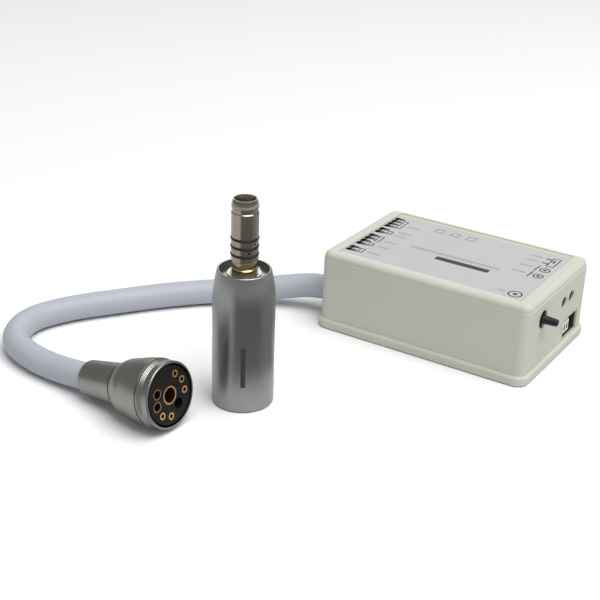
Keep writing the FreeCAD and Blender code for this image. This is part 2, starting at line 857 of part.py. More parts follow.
def make_electronics():
    """Larger components on the two boards."""
    cans = [
        rod(f"capacitor_{index}", ("-capacitor_left", f"-capacitor_near + {index} * capacitor_pitch", DRIVER_TOP), "capacitor_radius", "capacitor_height")
        for index in range(3)
    ]
    node(group("capacitor_group", cans), "capacitors")
    transistors = []
    for column in range(3):
        for line in range(2):
            transistors.append(
                box(
                    f"transistor_{column}_{line}",
                    (
                        f"-sink_left + transistor_edge + {column} * transistor_pitch_x",
                        f"-sink_near + 2 * transistor_edge + {line} * transistor_pitch_y",
                        DRIVER_TOP,
                    ),
                    ("transistor_size", "transistor_size", "transistor_height"),
                )
            )
    node(group("transistor_group", transistors), "power_transistors")
    sink_foot = f"({DRIVER_TOP} + transistor_height)"
    plates = [box("sink_plate", ("-sink_left", "-sink_near", sink_foot), ("sink_length", "sink_width", "sink_base"))]
    fin_count = 7
    for fin in range(fin_count):
        near = f"-sink_near + {fin} * (sink_width - sink_fin) / {fin_count - 1}"
        plates.append(
            box(f"sink_fin_{fin}", ("-sink_left", near, sink_foot), ("sink_length", "sink_fin", "sink_height"))
        )
    node(fused("heat_sink_fins", plates), "heat_sink")
    chip = box("chip", ("-chip_left", "chip_near", BOARD_TOP), ("chip_size", "chip_size", "chip_height"))
    node(chip, "controller_chip")
    coil = box("coil", ("coil_left", "-coil_near", DRIVER_TOP), ("coil_size", "coil_size", "coil_height"))
    node(coil, "power_inductor")
    header = box(
        "header",
        ("header_left", "header_near", DRIVER_TOP),
        ("header_depth", "header_width", f"control_level - {DRIVER_TOP}"),
    )
    node(header, "board_connector")


# ---- hose, its bushing and its coupling ----


def make_bushing():
    """Snap-in bushing in the left wall that the hose comes out of."""
    body = new_body("hose_bushing")
    sketch = sketch_on(body, "bushing_profile", "XZ_Plane")
    bore = "hose_radius"
    snap = "(wall + fit_gap)"
    outline(
        sketch,
        [
            (bore, "-bushing_snap_depth"),
            ("bushing_neck", "-bushing_snap_depth"),
            ("bushing_snap", "-fit_gap / 2"),
            ("bushing_neck", "0"),
            ("bushing_neck", snap),
            ("bushing_radius", snap),
            ("bushing_radius", f"{snap} + bushing_flange / 2"),
            ("bushing_radius - bushing_flange / 2", f"{snap} + bushing_flange"),
            (bore, f"{snap} + bushing_flange"),
        ],
    )
    turn = body.newObject("PartDesign::Revolution", "bushing_turn")
    turn.Profile = sketch
    turn.ReferenceAxis = (sketch, ["V_Axis"])
    body.Placement = FreeCAD.Placement(FreeCAD.Vector(), FreeCAD.Rotation(FreeCAD.Vector(0, 1, 0), -90))
    place(body, (f"-{INNER_X} + fit_gap / 2", "bushing_side", "bushing_level"))


def tube_path(points):
    """Straight runs joined by tangent arcs, each as large as its two runs allow."""
    edges = []
    start = points[0]
    for before, corner, after in zip(points, points[1:], points[2:]):
        back = before - corner
        ahead = after - corner
        turn = math.pi - back.getAngle(ahead)
        reach = 0.45 * min(back.Length, ahead.Length)
        radius = reach / math.tan(turn / 2)
        print(f"hose arc: turn {math.degrees(turn):5.1f} degrees, radius {radius:6.1f} mm")
        arc_start = corner + back.normalize() * reach
        arc_end = corner + ahead.normalize() * reach
        inward = (back + ahead).normalize()
        sag = radius / math.cos(turn / 2) - radius
        edges.append(Part.LineSegment(start, arc_start).toShape())
        edges.append(Part.Arc(arc_start, corner + inward * sag, arc_end).toShape())
        start = arc_end
    edges.append(Part.LineSegment(start, points[-1]).toShape())
    return Part.Wire(edges)


def make_hose():
    points = [FreeCAD.Vector(*point) for point in HOSE_ROUTE]
    for reach in ("-hose_lead", "hose_entry"):
        points.append(coupling_frame().multVec(FreeCAD.Vector(0, 0, value(reach))))
    path = tube_path(points)
    radius = value("hose_radius")
    section = Part.Wire(Part.makeCircle(radius, points[0], points[1] - points[0]))
    tube = path.makePipeShell([section], True, False)
    expected = math.pi * radius * radius * path.Length
    print(f"hose: length {path.Length:.1f} mm, volume {tube.Volume:.0f} of {expected:.0f} mm3")
    if abs(tube.Volume / expected - 1) > 0.01:
        raise ValueError("the hose's volume isn't its section times its length")
    hose = doc.addObject("Part::Feature", "hose")
    hose.Shape = tube
    hose.Placement = FreeCAD.Placement()
    node(hose, "hose_tube")


def coupling_frame():
    """Placement of the coupling's own axis, which rises from the hose to the face."""
    heading = FreeCAD.Rotation(FreeCAD.Vector(0, 0, 1), value("coupling_heading"))
    tilt = FreeCAD.Rotation(FreeCAD.Vector(0, 1, 0), 90 - value("coupling_tilt"))
    tail = FreeCAD.Vector(value("coupling_x"), value("coupling_y"), value("coupling_z"))
    return FreeCAD.Placement(tail, heading.multiply(tilt))


def make_sleeve():
    bore = "hose_radius"
    sleeve = turned(
        "coupling_sleeve",
        [
            (bore, "0"),
            ("sleeve_tail - sleeve_round", "0"),
            ("sleeve_tail", "sleeve_round", "sleeve_round", 1),
            ("sleeve_neck", "sleeve_length"),
            ("spigot_radius", "sleeve_length"),
            ("spigot_radius", "sleeve_length + spigot_length"),
            ("spigot_radius - 1.2", "sleeve_length + spigot_length"),
            ("spigot_radius - 1.2", "sleeve_bore"),
            (bore, "sleeve_bore"),
        ],
    )
    sleeve.Placement = coupling_frame()


def make_union_nut():
    """Nut that turns on the sleeve: a bell shell with a fine outside thread at its mouth."""
    shell = "(bell_radius - bell_wall)"
    spigot = "(spigot_radius + running_gap)"
    profile = [
        (spigot, "bell_start"),
        ("sleeve_neck", "bell_start"),
        ("bell_waist_radius", "bell_waist", "bell_back_curve", 1),
        ("bell_radius", "bell_full", "bell_side_curve", 1),
        ("bell_radius", "bell_end"),
        ("mouth_radius", "bell_end"),
    ]
    for groove in range(3):
        middle = f"(thread_first + {groove} * thread_pitch)"
        profile += [
            ("mouth_radius", f"{middle} - thread_groove"),
            ("mouth_radius - thread_groove", middle),
            ("mouth_radius", f"{middle} + thread_groove"),
        ]
    profile += [
        ("mouth_radius", "coupling_length - fit_gap"),
        ("mouth_radius - fit_gap", "coupling_length"),
        ("mouth_radius - mouth_wall", "coupling_length"),
        ("mouth_radius - mouth_wall", "block_start"),
        (shell, "block_start - fit_gap"),
        ("bell_waist_radius - bell_wall", "bell_waist"),
        ("clip_radius", "sleeve_length + spigot_length + fit_gap"),
        ("clip_radius", "sleeve_length + spigot_length / 2"),
        (spigot, "sleeve_length + spigot_length / 2"),
    ]
    nut = turned("union_nut", profile)
    nut.Placement = coupling_frame()


def make_clip():
    level = "sleeve_length + spigot_length / 2 + fit_gap"
    clip = turned(
        "coupling_clip",
        [
            ("spigot_radius", level),
            ("clip_radius - fit_gap", level),
            ("clip_radius - fit_gap", f"{level} + clip_thickness"),
            ("spigot_radius", f"{level} + clip_thickness"),
        ],
    )
    clip.Placement = coupling_frame()


def face_point(place_shares):
    """Local X and Y of a contact: local X points down the face and local Y sideways."""
    side, up = place_shares
    return f"-contact_circle * {up}", f"contact_circle * {side}"


def make_contact_block():
    body = new_body("contact_block")
    stem = sketch_on(body, "block_stem_outline", level="sleeve_length + spigot_length")
    circles(stem, [("0", "0")], "block_stem")
    feature(body, "Pad", "block_stem_pad", stem, "block_start - sleeve_length - spigot_length")
    disc = sketch_on(body, "block_outline", level="block_start")
    circles(disc, [("0", "0")], "block_radius")
    feature(body, "Pad", "block_pad", disc, "coupling_length - face_recess - block_start")
    face = "coupling_length - face_recess"
    for name, places, radius in (
        ("signal_holes", SIGNAL_PLACES, "socket_radius"),
        ("power_holes", POWER_PLACES, "power_radius"),
        ("water_hole", (WATER_PLACE,), "water_port"),
        ("air_hole", ((0.0, 0.0),), "air_tube_radius"),
    ):
        sketch = sketch_on(body, name + "_outline", level=face)
        circles(sketch, [face_point(place_shares) for place_shares in places], radius)
        pocket(body, name, sketch, "coupling_length - face_recess - block_start - wall / 2")
    body.Placement = coupling_frame()


def sleeve_contacts(label, places, radius, bore, length):
    """Gold sleeves in the block, each a short tube that stands a little proud of the face."""
    pieces = []
    for index, shares in enumerate(places):
        x, y = face_point(shares)
        foot = f"coupling_length - face_recess + socket_stand - {length}"
        tube = ring(f"{label}_{index}", (x, y, foot), radius, bore, length)
        pieces.append(tube)
    contacts = group(label + "_group", pieces) if len(pieces) > 1 else pieces[0]
    contacts.Placement = coupling_frame()
    node(contacts, label)


# ---- motor: casing, nose and what they hold ----

MOTOR_AT = ("motor_x", "motor_y", "0")


def motor_rod(name, level, radius, length, x="0", y="0"):
    return rod(name, (f"motor_x + {x}", f"motor_y + {y}", level), radius, length)


def motor_ring(label, level, outer, inner, length):
    foot = ("motor_x", "motor_y", level)
    return node(ring(label + "_ring", foot, outer, inner, length), label)


def make_casing():
    casing = turned(
        "motor_casing",
        [
            ("skirt_radius", "0"),
            ("motor_radius - motor_edge", "0"),
            ("motor_radius", "motor_edge", "motor_edge", 1),
            ("motor_radius", "shoulder_start"),
            ("rim_radius", "motor_height - fit_gap", "shoulder_curve", 1),
            ("rim_radius - fit_gap", "motor_height"),
            ("rim_inner", "motor_height"),
            ("rim_inner", "neck_level"),
            ("motor_bore", "neck_level"),
            ("motor_bore", "skirt_depth"),
            ("skirt_radius", "skirt_depth"),
        ],
    )
    place(casing, MOTOR_AT)


def make_front_flange():
    """Disc that closes the casing's front, holds the front bearing and carries the nose."""
    seat = "(front_bearing_level + bearing_height)"
    flange = turned(
        "front_flange",
        [
            ("bearing_radius", "front_bearing_level"),
            ("motor_bore - slip", "front_bearing_level"),
            ("motor_bore - slip", "neck_level"),
            ("rim_inner - slip", "neck_level"),
            ("rim_inner - slip", "flange_top"),
            ("hub_radius", "flange_top"),
            ("hub_radius", "hub_top"),
            ("nose_spigot", "hub_top"),
            ("nose_spigot", f"{seat} + wall"),
            ("nose_bore", f"{seat} + wall"),
            ("nose_bore", seat),
            ("bearing_radius", seat),
        ],
    )
    pockets = sketch_on(flange, "light_pockets_outline", level="flange_top")
    circles(pockets, light_places(), "light_radius")
    pocket(flange, "light_pockets", pockets, "wall")
    place(flange, MOTOR_AT)


def light_places():
    """Two light windows on one circle round the nose."""
    return [
        (f"light_circle * cos({angle} * 1 deg)", f"light_circle * sin({angle} * 1 deg)") for angle in (14, 292)
    ]


def make_lights():
    lenses = [
        motor_rod(f"light_{index}", "flange_top - wall", "light_radius", "wall + light_stand", f"({x})", f"({y})")
        for index, (x, y) in enumerate(light_places())
    ]
    node(group("light_group", lenses), "light_windows")


def make_snap_ring():
    """Open spring ring round the nose's hub, with an eye at each end."""
    body = new_body("nose_snap_ring")
    outline_sketch = sketch_on(body, "snap_ring_outline", level="flange_top")
    circles(outline_sketch, [("0", "0")], "snap_ring_radius")
    circles(outline_sketch, [("0", "0")], "hub_radius")
    feature(body, "Pad", "snap_ring_pad", outline_sketch, "snap_ring")
    gap = sketch_on(body, "snap_gap_outline", level="flange_top + snap_ring")
    rectangle(gap, "-snap_ear", "hub_radius - 1", "snap_ear", "snap_ring_radius + 1")
    pocket(body, "snap_gap", gap, "snap_ring")
    ears = sketch_on(body, "snap_ears_outline", level="flange_top")
    eye = "(hub_radius + snap_ear + slip)"
    circles(ears, [("1.7 * snap_ear", eye), ("-1.7 * snap_ear", eye)], "snap_ear")
    feature(body, "Pad", "snap_ears", ears, "snap_ring")
    eyes = sketch_on(body, "snap_eyes_outline", level="flange_top + snap_ring")
    circles(eyes, [("1.7 * snap_ear", eye), ("-1.7 * snap_ear", eye)], "snap_ear / 2")
    pocket(body, "snap_eyes", eyes, "snap_ring")
    place(body, MOTOR_AT)
    return body


RING_LEVELS = [f"(first_ring_level + {index} * ring_spacing)" for index in range(3)]


def make_nose():
    """Handpiece nose: grooves for three sealing rings, a latch groove and a flared mouth."""
    seat = "(front_bearing_level + bearing_height + wall)"
    profile = [
        ("nose_bore", seat),
        ("nose_spigot - slip", seat),
        ("nose_spigot - slip", "nose_foot"),
        ("nose_radius", "nose_foot"),
    ]
    for level in RING_LEVELS:
        profile += [
            ("nose_radius", level),
            ("nose_radius - ring_depth", level),
            ("nose_radius - ring_depth", f"{level} + ring_groove"),
            ("nose_radius", f"{level} + ring_groove"),
        ]
    profile += [
        ("nose_radius", "latch_groove_level"),
        ("nose_radius - latch_groove", "latch_groove_level + latch_groove"),
        ("nose_radius - latch_groove", "nose_shoulder - latch_groove"),
        ("nose_radius", "nose_shoulder"),
        ("nose_tip", "nose_top", "nose_curve", 1),
        ("nose_lip", "nose_top"),
        ("nose_mouth", "nose_top - nose_flare"),
        ("nose_mouth", "nose_mouth_level"),
        ("nose_bore", "nose_mouth_level"),
    ]
    nose = turned("nose_tube", profile)
    reach = "nose_radius + 1"
    for name, angle, level in (
        ("low_port", -37, f"({RING_LEVELS[1]} - (ring_spacing - ring_groove) / 2)"),
        ("high_port", -5, f"({RING_LEVELS[2]} - (ring_spacing - ring_groove) / 2)"),
    ):
        sketch = sketch_on(nose, name + "_outline", "YZ_Plane", "0")
        sketch.AttachmentOffset = FreeCAD.Placement(
            FreeCAD.Vector(), FreeCAD.Rotation(FreeCAD.Vector(0, 1, 0), angle)
        )
        circles(sketch, [("0", level)], "nose_port")
        pocket(nose, name, sketch, reach, against=True)
    place(nose, MOTOR_AT)


def make_nose_rings():
    rings = []
    for index, level in enumerate(RING_LEVELS):
        torus = doc.addObject("Part::Torus", f"nose_ring_{index}")
        torus.setExpression("Radius1", bound("nose_radius - ring_depth + o_ring"))
        torus.setExpression("Radius2", bound("o_ring"))
        place(torus, ("motor_x", "motor_y", f"{level} + ring_groove / 2"))
        rings.append(torus)
    node(group("nose_ring_group", rings), "nose_o_rings")


def make_collar():
    """Brass nut that clamps the nose to the flange."""
    collar = turned(
        "brass_collar",
        [
            ("nose_spigot", "hub_top"),
            ("collar_radius + 4 * slip", "hub_top"),
            ("collar_radius + 4 * slip", "hub_top + 1.6"),
            ("collar_radius - 4 * slip", "hub_top + 2"),
            ("collar_radius", "hub_top + 2.4"),
            ("collar_radius", "nose_foot - 0.6"),
            ("collar_radius - 4 * slip", "nose_foot"),
            ("nose_spigot", "nose_foot"),
        ],
    )
    place(collar, MOTOR_AT)


def make_bearings():
    """Ball bearings: outer rings and balls stay with the motor, inner rings turn."""
    outers = []
    inners = []
    balls = []
    ball_count = 7
    middle = "((bearing_radius - bearing_ring + shaft_radius + bearing_ring) / 2)"
    for name, level in (("rear", "rear_bearing_level"), ("front", "front_bearing_level")):
        foot = ("motor_x", "motor_y", level)
        outers.append(
            ring(name + "_outer", foot, "bearing_radius - slip / 2", "bearing_radius - bearing_ring", "bearing_height")
        )
        inners.append(ring(name + "_inner", foot, "shaft_radius + bearing_ring", "shaft_radius", "bearing_height"))
        for index in range(ball_count):
            angle = f"({index} * 360 / {ball_count}) * 1 deg"
            balls.append(
                ball(
                    f"{name}_ball_{index}",
                    (
                        f"motor_x + {middle} * cos({angle})",
                        f"motor_y + {middle} * sin({angle})",
                        f"{level} + bearing_height / 2",
                    ),
                    "ball_radius",
                )
            )
    node(group("outer_ring_group", outers), "bearing_outer_rings")
    node(group("inner_ring_group", inners), "bearing_inner_rings")
    node(group("ball_group", balls), "bearing_balls")


def make_rear_plate():
    plate = turned(
        "rear_bearing_plate",
        [
            ("shaft_radius + 2", "rear_plate_level"),
            ("motor_bore - slip", "rear_plate_level"),
            ("motor_bore - slip", "rear_bearing_level + bearing_height"),
            ("bearing_radius", "rear_bearing_level + bearing_height"),
            ("bearing_radius", "rear_bearing_level"),
            ("shaft_radius + 2", "rear_bearing_level"),
        ],
    )
    place(plate, MOTOR_AT)


def make_rear_block():
    """Insulating block in the casing's rear, with the pins that enter the coupling."""
    blank = motor_rod("rear_block_blank", "skirt_depth", "motor_bore - slip", "rear_block")
    holes = []
    pins = []
    posts = []
    foot = "skirt_depth - pin_reach"
    length = "pin_reach + rear_block"
    for index, shares in enumerate(SIGNAL_PLACES):
        x, y = face_point(shares)
        holes.append(motor_rod(f"signal_hole_{index}", "skirt_depth", "pin_radius", "rear_block", x, f"({y})"))
        pins.append(motor_rod(f"signal_pin_{index}", foot, "pin_radius", length, x, f"({y})"))
    for index, shares in enumerate(POWER_PLACES):
        x, y = face_point(shares)
        holes.append(motor_rod(f"power_hole_{index}", "skirt_depth", "power_pin_radius", "rear_block", x, f"({y})"))
        posts.append(motor_rod(f"power_pin_{index}", foot, "power_pin_radius", length, x, f"({y})"))
    holes.append(motor_rod("air_way", "skirt_depth", "air_tube_bore", "rear_block"))
    node(cut("rear_block_cut", blank, holes), "rear_contact_block")
    node(group("signal_pin_group", pins), "signal_pins")
    node(group("power_pin_group", posts), "power_pins")


def make_motor_inside():
    motor_ring("position_board", "hall_level", "motor_bore - 4 * slip", "shaft_radius + 2", "hall_board")
    motor_ring("stator_core", "stator_level", "motor_bore - slip", "motor_bore - stator_wall", "stator_height")
    coil_outer = "motor_bore - stator_wall - slip"
    motor_ring(
        "stator_coil",
        "stator_level - coil_overhang",
        coil_outer,
        f"{coil_outer} - coil_wall",
        "stator_height + 2 * coil_overhang",
    )
    motor_ring("rotor_magnet", "stator_level", "magnet_radius", "shaft_radius", "stator_height")


def make_shaft():
    shaft = turned(
        "rotor_shaft",
        [
            ("0", "rear_bearing_level - fit_gap"),
            ("shaft_radius", "rear_bearing_level - fit_gap"),
            ("shaft_radius", "front_bearing_level + bearing_height + fit_gap"),
            ("drive_shaft", "front_bearing_level + bearing_height + fit_gap"),
            ("drive_shaft", "spring_seat - 1"),
            ("spring_seat_radius", "spring_seat - 1"),
            ("spring_seat_radius", "spring_seat"),
            ("drive_shaft", "spring_seat"),
            ("drive_shaft", "shaft_top"),
            ("0", "shaft_top"),
        ],
    )
    place(shaft, MOTOR_AT)


def make_dog():
    """Spring-loaded driver that slides on the shaft's end and turns the handpiece."""
    bore = "(drive_shaft + running_gap)"
    dog = turned(
        "drive_dog",
        [
            (bore, "dog_foot"),
            ("dog_radius", "dog_foot"),
            ("dog_radius", "dog_top - 2 * fit_gap"),
            ("dog_radius - 2 * fit_gap", "dog_top"),
            ("0", "dog_top"),
            ("0", "shaft_top + dog_travel + fit_gap"),
            (bore, "shaft_top + dog_travel + fit_gap"),
        ],
    )
    slot = sketch_on(dog, "dog_slot_outline", level="dog_top")
    rectangle(slot, "-dog_radius", "-dog_slot / 2", "dog_radius", "dog_slot / 2")
    pocket(dog, "dog_slot_cut", slot, "dog_slot_depth")
    place(dog, MOTOR_AT)
    motor_ring("dog_spring", "spring_seat", "spring_radius", "spring_inner", "dog_foot - spring_seat")


def build():
    make_base()
    make_frame()
    make_lid()
    make_label()
    make_case_screws()
    drilled_board("driver_board", "driver_left", f"({INNER_X} - driver_end_gap)", "driver_level")
    drilled_board(
        "control_board",
        f"({INNER_X} - control_left_gap)",
        f"({INNER_X} - control_right_gap)",
        "control_level",
    )
    make_spacers()
    make_terminals()
    make_trimmers()
    make_inlet()
    make_switch()
    make_electronics()
    make_bushing()
    make_hose()
    make_sleeve()
    make_union_nut()
    make_clip()
    make_contact_block()
    block_depth = "(coupling_length - face_recess - block_start - wall / 2)"
    sleeve_contacts("signal_sockets", SIGNAL_PLACES, "socket_radius", "socket_bore", block_depth)
    sleeve_contacts("power_sockets", POWER_PLACES, "power_radius", "power_bore", block_depth)
    sleeve_contacts("air_tube", ((0.0, 0.0),), "air_tube_radius", "air_tube_bore", block_depth)
    make_casing()
    make_front_flange()
    make_lights()
    make_snap_ring()
    make_nose()
    make_nose_rings()
    make_collar()
    make_bearings()
    make_rear_plate()
    make_rear_block()
    make_motor_inside()
    make_shaft()
    make_dog()


def write_parts():
    doc.recompute()
    failed = [obj.Name for obj in doc.Objects if "Invalid" in obj.State or "Error" in obj.State]
    if failed:
        raise ValueError("objects failed: " + ", ".join(failed))
    for obj in nodes:
        if obj.Shape.isNull() or not obj.Shape.isValid() or not obj.Shape.Solids:
            raise ValueError(f"{obj.Label} has no valid solid")
    os.makedirs("parts", exist_ok=True)
    for obj in nodes:
        obj.Shape.exportStep(f"parts/{obj.Label}.step")
    print(f"{len(nodes)} nodes written")


build()
write_parts()
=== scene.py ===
import math

import bpy
from mathutils import Matrix, Vector


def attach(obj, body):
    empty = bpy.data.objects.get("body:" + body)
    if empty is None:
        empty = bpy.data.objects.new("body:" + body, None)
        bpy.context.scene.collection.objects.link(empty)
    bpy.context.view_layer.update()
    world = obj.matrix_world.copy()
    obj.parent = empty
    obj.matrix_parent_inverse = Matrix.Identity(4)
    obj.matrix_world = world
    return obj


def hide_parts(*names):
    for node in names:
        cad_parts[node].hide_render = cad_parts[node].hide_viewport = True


# Endodontic motor set: control box, hose with its coupling, and motor. Metres, +Z up.
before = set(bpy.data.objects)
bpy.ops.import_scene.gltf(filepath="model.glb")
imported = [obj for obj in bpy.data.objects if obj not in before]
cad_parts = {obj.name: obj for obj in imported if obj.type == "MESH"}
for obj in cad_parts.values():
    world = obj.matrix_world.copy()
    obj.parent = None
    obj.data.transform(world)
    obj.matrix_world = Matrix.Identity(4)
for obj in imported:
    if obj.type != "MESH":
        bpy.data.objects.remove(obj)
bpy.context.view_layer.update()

MM = 0.001


def mm(*numbers):
    """Millimetres as a vector in metres."""
    return Vector(numbers) * MM


def level_heading(angle):
    """Level unit vector at an angle from +X, in radians."""
    return Vector((math.cos(angle), math.sin(angle), 0))


MOTOR_FOOT = (-36.7, -101.0)

# ---- camera and hose ----


def set_camera():
    """Camera that fits the motor and the hose in the photograph."""
    right = Vector((0.8406, 0.5408, 0.0320))
    up = Vector((-0.2545, 0.3420, 0.9046))
    forward = right.cross(up) * -1
    camera = bpy.data.objects.new("studio_camera", bpy.data.cameras.new("studio_camera"))
    camera.data.sensor_width = 36
    camera.data.lens = 76.27
    camera.data.clip_start = 0.01
    turn = Matrix((right, up, -forward)).transposed().to_4x4()
    camera.matrix_world = Matrix.Translation(mm(202.42, -446.58, 238.78)) @ turn
    bpy.context.collection.objects.link(camera)
    bpy.context.scene.camera = camera


HOSE_DIAMETER = 10.5 * MM
HOSE_ROUTE = (
    (-44.55, -17.0, 11.3),
    (-56.0, -17.0, 11.3),
    (-69.5, -22.3, 8.4),
    (-83.5, -30.5, 5.7),
    (-97.5, -41.0, 5.25),
    (-110.5, -55.5, 5.25),
    (-121.5, -71.0, 5.25),
    (-134.6, -89.8, 5.25),
    (-140.6, -108.6, 5.25),
    (-132.0, -125.2, 5.25),
    (-115.0, -131.0, 5.25),
    (-96.977, -132.139, 5.284),
    (-76.676, -133.203, 8.613),
)


def make_hose():
    """The hose as one round curve along its route."""
    curve = bpy.data.curves.new("hose", "CURVE")
    curve.dimensions = "3D"
    spline = curve.splines.new("NURBS")
    spline.points.add(len(HOSE_ROUTE) - 1)
    for point, place in zip(spline.points, HOSE_ROUTE):
        point.co = (*mm(*place), 1.0)
    spline.order_u = 3
    spline.use_endpoint_u = True
    spline.resolution_u = 16
    curve.bevel_depth = HOSE_DIAMETER / 2
    curve.bevel_resolution = 12
    curve.use_fill_caps = True
    hose = bpy.data.objects.new("hose", curve)
    bpy.context.collection.objects.link(hose)
    return hose


set_camera()
hose = make_hose()


# ---- effects that several materials share ----


def group_sockets(tree, inputs, outputs):
    for name, kind, value in inputs:
        socket = tree.interface.new_socket(name, in_out="INPUT", socket_type=kind)
        if value is not None:
            socket.default_value = value
    for name, kind in outputs:
        tree.interface.new_socket(name, in_out="OUTPUT", socket_type=kind)
    return tree.nodes.new("NodeGroupInput"), tree.nodes.new("NodeGroupOutput")


def add_node(tree, kind, **settings):
    """Node with its settings; a key that names a socket sets that socket instead."""
    node = tree.nodes.new(kind)
    for key, value in settings.items():
        if key in node.inputs:
            node.inputs[key].default_value = value
        else:
            setattr(node, key, value)
    return node


def wire(tree, source, target):
    tree.links.new(source, target)


def feed(tree, sockets, values):
    """Wires each value that is a socket, and sets each one that is plain."""
    for socket, value in zip(sockets, values):
        if isinstance(value, bpy.types.NodeSocket):
            wire(tree, value, socket)
        else:
            socket.default_value = value


def math_node(tree, operation, *values):
    node = add_node(tree, "ShaderNodeMath", operation=operation)
    feed(tree, node.inputs, values)
    return node.outputs[0]


def blend_colours(tree, factor, first, second):
    node = add_node(tree, "ShaderNodeMix", data_type="RGBA")
    # A Mix node's colour mode uses its factor, seventh and eighth inputs and its third output.
    feed(tree, (node.inputs[0], node.inputs[6], node.inputs[7]), (factor, first, second))
    return node.outputs[2]


def object_place(tree):
    return add_node(tree, "ShaderNodeTexCoord").outputs["Object"]


def new_material(name):
    """Material with its node tree and its Principled shader."""
    material = bpy.data.materials.new(name)
    material.use_nodes = True
    return material, material.node_tree, material.node_tree.nodes["Principled BSDF"]


SURFACE_OUTPUTS = (
    ("Colour", "NodeSocketColor"),
    ("Roughness", "NodeSocketFloat"),
    ("Normal", "NodeSocketVector"),
)


def moulded_group():
    """Moulded plastic: fine spark-eroded grain, faint cloudiness and slightly uneven gloss."""
    tree = bpy.data.node_groups.new("moulded surface", "ShaderNodeTree")
    enter, leave = group_sockets(
        tree,
        [
            ("Colour", "NodeSocketColor", (0.8, 0.8, 0.8, 1)),
            ("Cloud Colour", "NodeSocketColor", (0.7, 0.7, 0.7, 1)),
            ("Cloud Scale", "NodeSocketFloat", 60.0),
            ("Grain Scale", "NodeSocketFloat", 3500.0),
            ("Grain Depth", "NodeSocketFloat", 0.1),
            ("Roughness", "NodeSocketFloat", 0.5),
            ("Gloss Spread", "NodeSocketFloat", 0.1),
        ],
        SURFACE_OUTPUTS,
    )
    place = object_place(tree)
    cloud = add_node(tree, "ShaderNodeTexNoise", Detail=3.0, Roughness=0.55)
    grain = add_node(tree, "ShaderNodeTexNoise", Detail=2.0, Roughness=0.6)
    for noise, scale in ((cloud, "Cloud Scale"), (grain, "Grain Scale")):
        wire(tree, place, noise.inputs["Vector"])
        wire(tree, enter.outputs[scale], noise.inputs["Scale"])
    colour = blend_colours(
        tree, cloud.outputs["Fac"], enter.outputs["Colour"], enter.outputs["Cloud Colour"]
    )
    wire(tree, colour, leave.inputs["Colour"])
    unevenness = math_node(tree, "SUBTRACT", cloud.outputs["Fac"], 0.5)
    spread = math_node(tree, "MULTIPLY", unevenness, enter.outputs["Gloss Spread"])
    wire(tree, math_node(tree, "ADD", spread, enter.outputs["Roughness"]), leave.inputs["Roughness"])
    bump = add_node(tree, "ShaderNodeBump", Distance=0.00004)
    wire(tree, grain.outputs["Fac"], bump.inputs["Height"])
    wire(tree, enter.outputs["Grain Depth"], bump.inputs["Strength"])
    wire(tree, bump.outputs["Normal"], leave.inputs["Normal"])
    return tree


def turned_group():
    """Turned metal: fine rings across the local Z of the vector given, and soft smudges."""
    tree = bpy.data.node_groups.new("turned surface", "ShaderNodeTree")
    enter, leave = group_sockets(
        tree,
        [
            ("Vector", "NodeSocketVector", None),
            ("Colour", "NodeSocketColor", (0.6, 0.6, 0.6, 1)),
            ("Smudge Colour", "NodeSocketColor", (0.5, 0.5, 0.5, 1)),
            ("Ring Depth", "NodeSocketFloat", 0.15),
            ("Roughness", "NodeSocketFloat", 0.3),
            ("Gloss Spread", "NodeSocketFloat", 0.15),
        ],
        SURFACE_OUTPUTS,
    )
    stretch = add_node(tree, "ShaderNodeMapping", Scale=(60.0, 60.0, 9000.0))
    wire(tree, enter.outputs["Vector"], stretch.inputs["Vector"])
    rings = add_node(tree, "ShaderNodeTexNoise", Scale=1.0, Detail=3.0, Roughness=0.6)
    wire(tree, stretch.outputs["Vector"], rings.inputs["Vector"])
    smudge = add_node(tree, "ShaderNodeTexNoise", Scale=140.0, Detail=4.0, Roughness=0.6)
    wire(tree, enter.outputs["Vector"], smudge.inputs["Vector"])
    colour = blend_colours(
        tree, smudge.outputs["Fac"], enter.outputs["Colour"], enter.outputs["Smudge Colour"]
    )
    wire(tree, colour, leave.inputs["Colour"])
    mixed = math_node(tree, "ADD", rings.outputs["Fac"], smudge.outputs["Fac"])
    centred = math_node(tree, "SUBTRACT", mixed, 1.0)
    spread = math_node(tree, "MULTIPLY", centred, enter.outputs["Gloss Spread"])
    wire(tree, math_node(tree, "ADD", spread, enter.outputs["Roughness"]), leave.inputs["Roughness"])
    bump = add_node(tree, "ShaderNodeBump", Distance=0.00002)
    wire(tree, rings.outputs["Fac"], bump.inputs["Height"])
    wire(tree, enter.outputs["Ring Depth"], bump.inputs["Strength"])
    wire(tree, bump.outputs["Normal"], leave.inputs["Normal"])
    return tree


MOULDED = moulded_group()
TURNED = turned_group()


def surface(name, group, values, shader_values, axis=None):
    """Material: one shared effect feeding a Principled shader with this finish's own values."""
    material, tree, shader = new_material(name)
    for key, value in shader_values.items():
        shader.inputs[key].default_value = value
    effect = add_node(tree, "ShaderNodeGroup", node_tree=group)
    for key, value in values.items():
        effect.inputs[key].default_value = value
    if group is TURNED:
        place = object_place(tree)
        if axis is not None:
            turn = add_node(tree, "ShaderNodeMapping", vector_type="POINT", Rotation=axis)
            wire(tree, place, turn.inputs["Vector"])
            place = turn.outputs["Vector"]
        wire(tree, place, effect.inputs["Vector"])
    for source, target in (("Colour", "Base Color"), ("Roughness", "Roughness"), ("Normal", "Normal")):
        wire(tree, effect.outputs[source], shader.inputs[target])
    return material


def rgb(red, green, blue):
    return (red, green, blue, 1.0)


def neutral(shade):
    return rgb(shade, shade, shade)


def plastic(name, colour, cloud, roughness=0.5, grain=0.25, gloss=0.4, **more):
    values = {
        "Colour": colour,
        "Cloud Colour": cloud,
        "Roughness": roughness,
        "Grain Depth": grain,
        **more,
    }
    return surface(name, MOULDED, values, {"Specular IOR Level": gloss})


